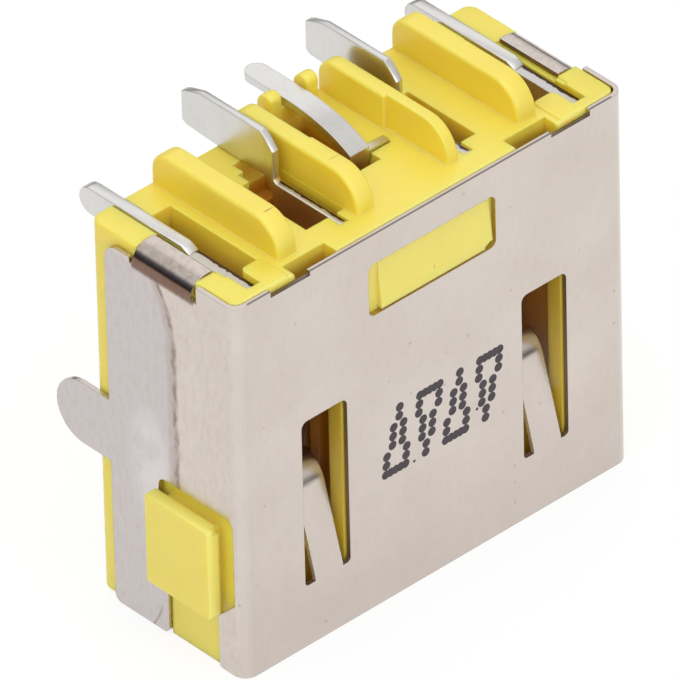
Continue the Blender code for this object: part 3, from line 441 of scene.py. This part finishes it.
def small_mark(tree, place, centre, reach):
    """1 inside a soft stretched spot."""
    off = add(tree, "ShaderNodeVectorMath", {0: place, 1: centre}, operation='SUBTRACT').outputs["Vector"]
    off = add(tree, "ShaderNodeVectorMath", {0: off, 1: reach}, operation='DIVIDE').outputs["Vector"]
    far = add(tree, "ShaderNodeVectorMath", {0: off}, operation='LENGTH').outputs["Value"]
    return rest_of(tree, ramp(tree, far, MARK_CORE, 1.0))


def rough_bump(tree, place, grain_noise, wave_noise, grain_share, strength):
    """Fine grain on a slow wave, as the grain's value and a bumped normal."""
    grain = noise(tree, place, *grain_noise)
    wave = noise(tree, place, *wave_noise)
    height = math_node(tree, 'MULTIPLY_ADD', grain, grain_share, wave)
    bump = add(tree, "ShaderNodeBump", {"Height": height, "Strength": strength, "Distance": BUMP_DISTANCE})
    return grain, bump.outputs["Normal"]


def moulding_group():
    """Colour, roughness and fine grain of the yellow moulding, with painted shade in recesses and painted
    light on some faces and edges.
    """
    tree, out = group_with("moulded_yellow", (
        ("Color", 'NodeSocketColor'), ("Roughness", 'NodeSocketFloat'), ("Normal", 'NodeSocketVector')))
    place = object_place(tree)
    axes = split(tree, place)
    aside = size_of(tree, axes["X"])
    way = face_way(tree)

    # Masks: window slots for painted shade, open faces for a painted edge highlight, latch ramp for painted
    # light, sides of the ribs for painted bounce light, small ledge below them for painted shade, pads for
    # painted light
    slot = product(tree, under(tree, axes["Z"], SLOT_TOP), under(tree, aside, WINDOWS_X),
                   under(tree, axes["Y"], FRONT_Y + SLOT_BACK))
    bare = math_node(tree, 'MAXIMUM', above(tree, axes["Z"], BARE_TOP), above(tree, aside, BARE_SIDE))
    latch = product(tree, above(tree, axes["Z"], LATCH_LOW), under(tree, axes["Y"], FRONT_Y + LATCH_BACK))
    bare = math_node(tree, 'MAXIMUM', bare, latch)
    # Painted bounce light on the sides of the ribs that face -X
    rib_side_bounce = product(tree, under(tree, way["X"], -SQUARE_ON), ramp(tree, axes["Z"], BESIDE_LOW, BODY_TOP))
    ledge = product(tree, inside(tree, aside, *LEDGE_X), inside(tree, axes["Y"], *LEDGE_Y),
                    inside(tree, axes["Z"], *LEDGE_Z))
    # Painted shade on the up-facing ledge
    step = product(tree, ledge, above(tree, way["Z"], SLANTED))
    # Painted highlight along the open edges
    pale = product(tree, bare, rest_of(tree, ledge), edge_line(tree, HIGHLIGHT_EDGE, 0.0, 0.25))
    # Painted light on the pads' faces that do not face X
    pad = product(tree, above(tree, aside, PAD_SIDE), under(tree, size_of(tree, way["X"]), SQUARE_ON))

    cloud = ramp(tree, noise(tree, place, *PLASTIC_CLOUD), 0.3, 0.7)
    colour = blend(tree, cloud, *YELLOWS)
    # Painted shade: recesses and window slots drawn towards brown
    deep = use_group(tree, recess_shade_group())["Deep"]
    deep = math_node(tree, 'MAXIMUM', deep, product(tree, slot, SLOT_SHADE))
    colour = blend(tree, deep, colour, RECESS_SHADE_BROWN)
    for mask, values in ((latch, LATCH_PAINTED_LIGHT), (rib_side_bounce, RIB_SIDE_PAINTED_BOUNCE), (step, LEDGE_PAINTED_SHADE),
                         (pale, EDGE_PAINTED_HIGHLIGHT), (pad, PAD_PAINTED_LIGHT)):
        colour = tint(tree, colour, mask, *values)
    for centre, reach, strength in MOULD_MARKS:
        colour = tint(tree, colour, small_mark(tree, place, centre, reach), strength, MARK_BROWN)

    grain, bumped = rough_bump(tree, place, PLASTIC_GRAIN, PLASTIC_WAVE, PLASTIC_GRAIN_SHARE, PLASTIC_BUMP)
    plain = math_node(tree, 'MAXIMUM', slot, ledge)
    rounded = rounded_edge(tree, EDGE_ROUND, bumped)
    bent = add(tree, "ShaderNodeMix", {0: plain, 4: rounded, 5: bumped}, data_type='VECTOR')
    tree.links.new(colour, out.inputs["Color"])
    tree.links.new(ramp(tree, grain, 0.0, 1.0), out.inputs["Roughness"])
    tree.links.new(bent.outputs[1], out.inputs["Normal"])
    return tree


def yellow_moulding():
    """Satin yellow plastic that lets a little light through."""
    material, tree, shader = principled("yellow_moulding", PLASTIC)
    shared = use_group(tree, moulding_group())
    rough = math_node(tree, 'MULTIPLY_ADD', shared["Roughness"], *PLASTIC_ROUGH)
    tree.links.new(shared["Color"], shader.inputs["Base Color"])
    tree.links.new(rough, shader.inputs["Roughness"])
    tree.links.new(shared["Normal"], shader.inputs["Normal"])
    return material


def plating_group():
    """Clouds, specks, painted shade along edges, and grain of plated metal."""
    tree, out = group_with("plated_metal", (
        ("Cloud", 'NodeSocketFloat'), ("Speck", 'NodeSocketFloat'), ("Edge shade", 'NodeSocketFloat'),
        ("Grain", 'NodeSocketFloat'), ("Normal", 'NodeSocketVector')))
    place = object_place(tree)
    cloud = ramp(tree, noise(tree, place, *METAL_CLOUD), 0.32, 0.70)
    dots = add(tree, "ShaderNodeTexVoronoi", {"Vector": place, "Scale": SPECK_SCALE}).outputs
    chance = add(tree, "ShaderNodeSeparateColor", {"Color": dots["Color"]}).outputs[0]
    small = rest_of(tree, ramp(tree, dots["Distance"], *SPECK_SIZE))
    speck = product(tree, above(tree, chance, SPECK_CHOICE), small)
    bumped = rough_bump(tree, place, METAL_GRAIN, METAL_WAVE, METAL_GRAIN_SHARE, METAL_BUMP)[1]
    drawn = add(tree, "ShaderNodeVectorMath", {0: place, 1: DRAWN}, operation='MULTIPLY').outputs["Vector"]
    tree.links.new(cloud, out.inputs["Cloud"])
    tree.links.new(speck, out.inputs["Speck"])
    # Painted shade along sharp edges
    tree.links.new(edge_line(tree, SHEET_ROUND, *EDGE_TURN), out.inputs["Edge shade"])
    tree.links.new(noise(tree, drawn, *DRAWN_GRAIN), out.inputs["Grain"])
    tree.links.new(rounded_edge(tree, SHEET_ROUND, bumped), out.inputs["Normal"])
    return tree


def crease_group():
    """Crease up each side plate as painted shade, with the purple-grey tint behind it, a painted highlight
    patch and a rub mark.
    """
    tree, out = group_with("side_crease", tuple(
        (label, 'NodeSocketFloat') for label in ("Line", "Behind", "Highlight patch", "Rub", "Side")))
    place = object_place(tree)
    axes = split(tree, place)
    below_tab = rest_of(tree, ramp(tree, axes["Z"], TAB_LOW, TAB_LOW + CREASE_WIDTH))
    plate = product(tree, above(tree, size_of(tree, face_way(tree)["X"]), SQUARE_ON), below_tab)

    # Distance behind the crease, which bends back at its top and wanders
    rise = math_node(tree, 'MAXIMUM', math_node(tree, 'SUBTRACT', axes["Z"], CREASE_BEND_Z), 0.0)
    path = math_node(tree, 'MULTIPLY_ADD', product(tree, rise, rise), CREASE_BEND, CREASE_Y)
    wander = math_node(tree, 'SUBTRACT', noise(tree, place, *CREASE_WANDER_NOISE), 0.5)
    away = math_node(tree, 'SUBTRACT', math_node(tree, 'SUBTRACT', axes["Y"], path),
                     product(tree, wander, CREASE_WANDER))

    # Painted shade of the crease: a dark line with a shade band behind it
    line = rest_of(tree, ramp(tree, size_of(tree, away), 0.0, CREASE_WIDTH))
    shade = product(tree, ramp(tree, away, 0.0, CREASE_WIDTH),
                    rest_of(tree, ramp(tree, away, CREASE_WIDTH, CREASE_SHADE)))
    patch = ramp(tree, noise(tree, place, *CREASE_PATCH_NOISE), 0.38, 0.66)
    patch = math_node(tree, 'MULTIPLY_ADD', patch, CREASE_PATCH_SHARE, 1 - CREASE_PATCH_SHARE)
    line = math_node(tree, 'MULTIPLY_ADD', shade, CREASE_SHADE_SHARE, product(tree, line, patch))
    # Painted highlight patch
    highlight_patch = product(tree, small_mark(tree, place, HIGHLIGHT_PATCH_PLACE, HIGHLIGHT_PATCH_REACH),
                   ramp(tree, noise(tree, place, *HIGHLIGHT_PATCH_NOISE), 0.25, 0.60))

    turn = add(tree, "ShaderNodeCombineXYZ", {"Y": math_node(tree, 'SUBTRACT', axes["Y"], RUB_CENTRE[0]),
                                              "Z": math_node(tree, 'SUBTRACT', axes["Z"], RUB_CENTRE[1])})
    turn = add(tree, "ShaderNodeVectorMath", {0: turn.outputs[0]}, operation='LENGTH').outputs["Value"]
    off_ring = size_of(tree, math_node(tree, 'SUBTRACT', turn, RUB_RADIUS))
    ring = rest_of(tree, ramp(tree, off_ring, 0.0, RUB_WIDTH))
    low = rest_of(tree, ramp(tree, axes["Z"], RUB_HIGH - CREASE_SHADE, RUB_HIGH))

    tree.links.new(product(tree, line, plate), out.inputs["Line"])
    tree.links.new(product(tree, ramp(tree, away, -CREASE_WIDTH, 2 * CREASE_WIDTH), plate),
                   out.inputs["Behind"])
    tree.links.new(product(tree, highlight_patch, plate), out.inputs["Highlight patch"])
    tree.links.new(product(tree, ring, plate, low, under(tree, axes["Y"], RUB_FRONT)), out.inputs["Rub"])
    tree.links.new(plate, out.inputs["Side"])
    return tree


def shear_group():
    """Cut edges, windows, bends and rolled tabs of the sheet, and the low part of the wide plate, mostly as
    masks for painted shade, reflection and highlight.
    """
    labels = ("Top", "Outer edge shade", "Window", "Latch edge reflection", "Notch shade", "Roll reflection", "Reflection stripe", "Bend highlight", "Rim",
              "Low shade", "Tab")
    tree, out = group_with("sheared_sheet", tuple((label, 'NodeSocketFloat') for label in labels))
    axes = split(tree, object_place(tree))
    aside = size_of(tree, axes["X"])
    way = face_way(tree)
    top = above(tree, way["Z"], SHEET_UP)
    middle = under(tree, aside, WINDOWS_X)
    front = under(tree, axes["Y"], FRONT_Y + SHEET + CREASE_WIDTH)
    cut = product(tree, under(tree, size_of(tree, way["Y"]), EDGE_ON), under(tree, axes["Z"], TAB_LOW),
                  middle)

    # Painted shade along the outer edge of the sheet's cut top
    outer = product(tree, top, under(tree, axes["Y"], FRONT_Y + OUTER_SHARE * SHEET), middle)
    # Painted shade on the cut top of the notches
    notch = product(tree, top, inside(tree, aside, *NOTCH_X), under(tree, axes["Z"], NOTCH_TOP), front)

    # Rolled lock tabs, banded by the way their round face looks into painted reflection: brown where the
    # face turns most to the side, with a dark stripe at the edge of the brown
    tab = product(tree, ramp(tree, axes["Z"], TAB_LOW - CREASE_WIDTH, TAB_LOW),
                  inside(tree, axes["Y"], *TAB_Y))
    turn = size_of(tree, split(tree, add(tree, "ShaderNodeNewGeometry").outputs["Normal"])["X"])
    roll = product(tree, tab, ramp(tree, turn, *ROLL_TURN))
    stripe = product(tree, tab, ramp(tree, turn, *STRIPE_START),
                     rest_of(tree, ramp(tree, turn, *STRIPE_END)))

    # Cut edges of the windows get painted shade, and the latch window's a painted yellow reflection; the
    # fingers' own stay bright
    off_finger = size_of(tree, math_node(tree, 'SUBTRACT', aside, FINGER_X))
    wall = math_node(tree, 'MAXIMUM', above(tree, off_finger, FINGER_HALF),
                     above(tree, axes["Z"], FINGER_HIGH))
    wall = math_node(tree, 'MAXIMUM', wall, above(tree, size_of(tree, way["Z"]), SQUARE_ON))
    window = product(tree, cut, front, wall)
    rim = product(tree, cut, rest_of(tree, wall))

    # Painted shade, darker towards the bottom of the wide plate
    low = product(tree, above(tree, size_of(tree, way["Y"]), SLANTED),
                  rest_of(tree, ramp(tree, axes["Z"], *PLATE_LOW)))
    # Painted highlight on the bends
    bend = ramp(tree, size_of(tree, product(tree, way["X"], way["Y"])), *BEND_TURN)
    latch = product(tree, window, above(tree, axes["Z"], LATCH_LOW))
    values = (top, outer, window, latch, notch, roll, stripe, bend, rim, low, tab)
    for label, value in zip(labels, values):
        tree.links.new(value, out.inputs[label])
    return tree


def all_masks(*groups):
    """Outputs of several groups by their names."""
    return {socket.name: socket for outputs in groups for socket in outputs}


def tinted(tree, tones, cloud, tints, masks):
    """Two tones mixed by a cloud, then each tint by its mask."""
    base = blend(tree, cloud, *tones)
    for name, (strength, tone) in tints.items():
        base = tint(tree, base, masks[name], strength, tone)
    return base


def nickel_sheet(plating):
    """Warm satin nickel, tinted behind the crease of each side plate, with painted shade, reflection and
    highlight.
    """
    material, tree, shader = principled("nickel_plated_sheet", {"Metallic": 1.0})
    masks = all_masks(use_group(tree, plating), use_group(tree, crease_group()),
                      use_group(tree, shear_group()))
    grain = masks["Grain"]
    mottle = math_node(tree, 'MULTIPLY_ADD', masks["Side"], *MOTTLE_SHARES)
    masks["Mottle"] = product(tree, ramp(tree, grain, 0.38, 0.76), mottle)
    masks["Smudge"] = product(tree, masks["Tab"], ramp(tree, grain, 0.40, 0.66))
    base = tinted(tree, NICKELS, masks["Cloud"], NICKEL_TINTS, masks)
    rough = math_node(tree, 'MULTIPLY_ADD', masks["Cloud"], *NICKEL_ROUGH)
    cut = math_node(tree, 'ADD', masks["Window"], masks["Rim"])
    for mask, share in ((masks["Top"], TOP_ROUGH), (masks["Highlight patch"], HIGHLIGHT_PATCH_ROUGH), (cut, CUT_ROUGH)):
        rough = math_node(tree, 'MULTIPLY_ADD', mask, share, rough)
    tree.links.new(base, shader.inputs["Base Color"])
    tree.links.new(rough, shader.inputs["Roughness"])
    tree.links.new(masks["Normal"], shader.inputs["Normal"])
    return material


def blade_group():
    """Dark brown strip along one side of each thin blade's top."""
    tree, out = group_with("torn_blade_top", (("Dark strip", 'NodeSocketFloat'), ("Cut", 'NodeSocketFloat')))
    place = object_place(tree)
    axes = split(tree, place)
    outer = above(tree, size_of(tree, axes["X"]), OUTER_X)
    middle = math_node(tree, 'MULTIPLY_ADD', outer, GROUND_X - POWER_X, POWER_X)
    side = math_node(tree, 'SIGN', axes["X"])
    off = math_node(tree, 'SUBTRACT', axes["X"], product(tree, middle, side))
    off = math_node(tree, 'MULTIPLY_ADD', outer, -SHEAR_THICK, off)
    jag = product(tree, math_node(tree, 'SUBTRACT', noise(tree, place, *SHEAR_NOISE), 0.5), SHEAR_JAG)
    torn = ramp(tree, math_node(tree, 'ADD', off, jag), SHEAR_START, SHEAR_START + SHEAR_SOFT)
    cut = product(tree, above(tree, face_way(tree)["Z"], BLADE_UP), inside(tree, axes["Z"], *BLADE_TOP))
    tree.links.new(product(tree, torn, cut), out.inputs["Dark strip"])
    tree.links.new(cut, out.inputs["Cut"])
    return tree


def tin_contact(plating):
    """Light tin plating of the terminals, darkened to brown along one side of the blade tops, with painted
    shade along edges.
    """
    material, tree, shader = principled("tin_plated_contact", {"Metallic": 1.0})
    masks = all_masks(use_group(tree, plating), use_group(tree, blade_group()))
    masks["Mottle"] = ramp(tree, masks["Grain"], 0.50, 0.80)
    base = tinted(tree, TINS, masks["Cloud"], TIN_TINTS, masks)
    rough = math_node(tree, 'MULTIPLY_ADD', masks["Cloud"], *TIN_ROUGH)
    tree.links.new(base, shader.inputs["Base Color"])
    tree.links.new(rough, shader.inputs["Roughness"])
    tree.links.new(masks["Normal"], shader.inputs["Normal"])
    return material


def printed_ink():
    """Dark grey ink with a purple cast."""
    material, tree, shader = principled("printed_ink", {})
    thin = ramp(tree, noise(tree, object_place(tree), *INK_NOISE), 0.35, 0.75)
    tree.links.new(blend(tree, thin, *INKS), shader.inputs["Base Color"])
    tree.links.new(math_node(tree, 'MULTIPLY_ADD', thin, *INK_ROUGH), shader.inputs["Roughness"])
    return material


def add_dot(work, x, z, radius, rise):
    """Flat round dot standing on the wide plate."""
    rim = []
    for step in range(DOT_SIDES):
        turn = 2 * pi * step / DOT_SIDES
        rim.append((x + radius * cos(turn), z + radius * sin(turn)))
    front = [work.verts.new((px, FRONT_Y - rise, pz)) for px, pz in rim]
    back = [work.verts.new((px, FRONT_Y, pz)) for px, pz in rim]
    work.faces.new(front)
    for step in range(DOT_SIDES):
        after = (step + 1) % DOT_SIDES
        work.faces.new((front[step], back[step], back[after], front[after]))


def make_ink():
    """Four plain dotted figures on the wide plate."""
    work = bmesh.new()
    start = FIGURES_MIDDLE[0] - FIGURE_PITCH * (len(FIGURES) - 1) / 2
    count = 0
    for index, figure in enumerate(FIGURES):
        for row, marks in enumerate(figure):
            up = ((len(figure) - 1) / 2 - row) * DOT_PITCH[1]
            for column, mark in enumerate(marks):
                if mark == "#":
                    along = (column - (len(marks) - 1) / 2) * DOT_PITCH[0] + DOT_SLANT * up
                    count += 1
                    add_dot(work, start + index * FIGURE_PITCH + along, FIGURES_MIDDLE[1] + up,
                            DOT_RADIUS, DOT_RISE * (1 + DOT_STAGGER * (count % 3)))
    for x, z in STRAY_DOTS:
        add_dot(work, x, z, DOT_RADIUS / 3, DOT_RISE)
    bmesh.ops.recalc_face_normals(work, faces=work.faces)
    mesh = bpy.data.meshes.new("ink_dots")
    work.to_mesh(mesh)
    work.free()
    mesh.materials.append(printed_ink())
    dots = bpy.data.objects.new("ink_dots", mesh)
    bpy.context.scene.collection.objects.link(dots)
    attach(dots, "root")


def dressed(name, material):
    """Copy of a solid in its finish, flat faces kept flat and round ones smooth."""
    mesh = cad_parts[name].data.copy()
    mesh.name = name + "_finish"
    work = bmesh.new()
    work.from_mesh(mesh)
    bmesh.ops.remove_doubles(work, verts=work.verts, dist=WELD)
    work.to_mesh(mesh)
    work.free()
    stale = mesh.attributes.get("custom_normal")
    if stale:
        mesh.attributes.remove(stale)
    mesh.materials.clear()
    mesh.materials.append(material)
    mesh.shade_smooth()
    mesh.set_sharp_from_angle(angle=SHARP_ANGLE)
    piece = bpy.data.objects.new(name + "_finish", mesh)
    bpy.context.scene.collection.objects.link(piece)
    weighted = piece.modifiers.new("flat_faces", 'WEIGHTED_NORMAL')
    weighted.keep_sharp = True
    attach(piece, "root")
    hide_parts(name)
    return piece


def make_pieces():
    """Every solid with its finish."""
    plating = plating_group()
    tin = tin_contact(plating)
    dressed("housing", yellow_moulding())
    dressed("shield", nickel_sheet(plating))
    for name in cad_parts:
        if name.startswith("terminal_"):
            dressed(name, tin)
    make_ink()


def make_floor():
    """Pale floor, brighter to the camera and in reflections than its own shade, clear from below."""
    bpy.ops.mesh.primitive_plane_add(size=FLOOR_SIZE)
    floor = bpy.context.object
    floor.name = "studio_floor"
    material, tree, shader = principled("studio_paper", {"Base Color": FLOOR_GREY, "Roughness": FLOOR_ROUGH})
    out = tree.nodes["Material Output"]
    glow = add(tree, "ShaderNodeEmission", {"Color": (1, 1, 1, 1), "Strength": FLOOR_WHITE})
    seen = add(tree, "ShaderNodeLightPath").outputs
    share = math_node(tree, 'MAXIMUM', seen["Is Camera Ray"], seen["Is Glossy Ray"])
    share = math_node(tree, 'MULTIPLY', share, 1 - SHADOW_SHARE)
    mix = add(tree, "ShaderNodeMixShader", {0: share, 1: shader.outputs[0], 2: glow.outputs[0]})
    below = add(tree, "ShaderNodeNewGeometry").outputs["Backfacing"]
    clear = add(tree, "ShaderNodeBsdfTransparent")
    mix = add(tree, "ShaderNodeMixShader", {0: below, 1: mix.outputs[0], 2: clear.outputs[0]})
    tree.links.new(mix.outputs[0], out.inputs["Surface"])
    floor.data.materials.append(material)


def softbox(name, place, size, watts):
    """Area light aimed at the jack."""
    light = bpy.data.lights.new(name, 'AREA')
    light.shape = 'RECTANGLE'
    light.size, light.size_y = size
    light.energy = watts
    lamp = bpy.data.objects.new(name, light)
    lamp.location = place
    lamp.rotation_mode = 'QUATERNION'
    lamp.rotation_quaternion = (AIM - Vector(place)).to_track_quat('-Z', 'Y')
    bpy.context.scene.collection.objects.link(lamp)


def make_world():
    """Soft studio surround: pale above and dim along the horizon."""
    world = bpy.data.worlds.new("studio")
    world.use_nodes = True
    tree = world.node_tree
    back = tree.nodes["Background"]
    way = add(tree, "ShaderNodeTexCoord").outputs["Generated"]
    height = add(tree, "ShaderNodeSeparateXYZ", {"Vector": way}).outputs["Z"]
    colour = blend(tree, ramp(tree, height, *RISE), HORIZON, CEILING)
    tree.links.new(colour, back.inputs["Color"])
    back.inputs["Strength"].default_value = SURROUND_STRENGTH
    bpy.context.scene.world = world


def make_lights():
    """Large boxes above, at the left, in front and behind at the right."""
    for values in SOFTBOXES:
        softbox(*values)


def make_camera():
    """Camera at the photograph's angle."""
    data = bpy.data.cameras.new("photo_camera")
    data.lens = LENS
    data.sensor_width = SENSOR
    camera = bpy.data.objects.new("photo_camera", data)
    back = Vector((sin(AZIMUTH) * cos(ELEVATION), -cos(AZIMUTH) * cos(ELEVATION), sin(ELEVATION)))
    right = Vector((cos(AZIMUTH), sin(AZIMUTH), 0.0))
    up = back.cross(right)
    turned_right = cos(ROLL) * right + sin(ROLL) * up
    turned_up = cos(ROLL) * up - sin(ROLL) * right
    axes = Matrix((turned_right, turned_up, back)).transposed()
    camera.matrix_world = Matrix.Translation(AIM + DISTANCE * back) @ axes.to_4x4()
    bpy.context.scene.collection.objects.link(camera)
    bpy.context.scene.camera = camera


make_camera()
make_world()
make_lights()
make_floor()
make_pieces()
bpy.context.scene.view_settings.view_transform = 'Standard'
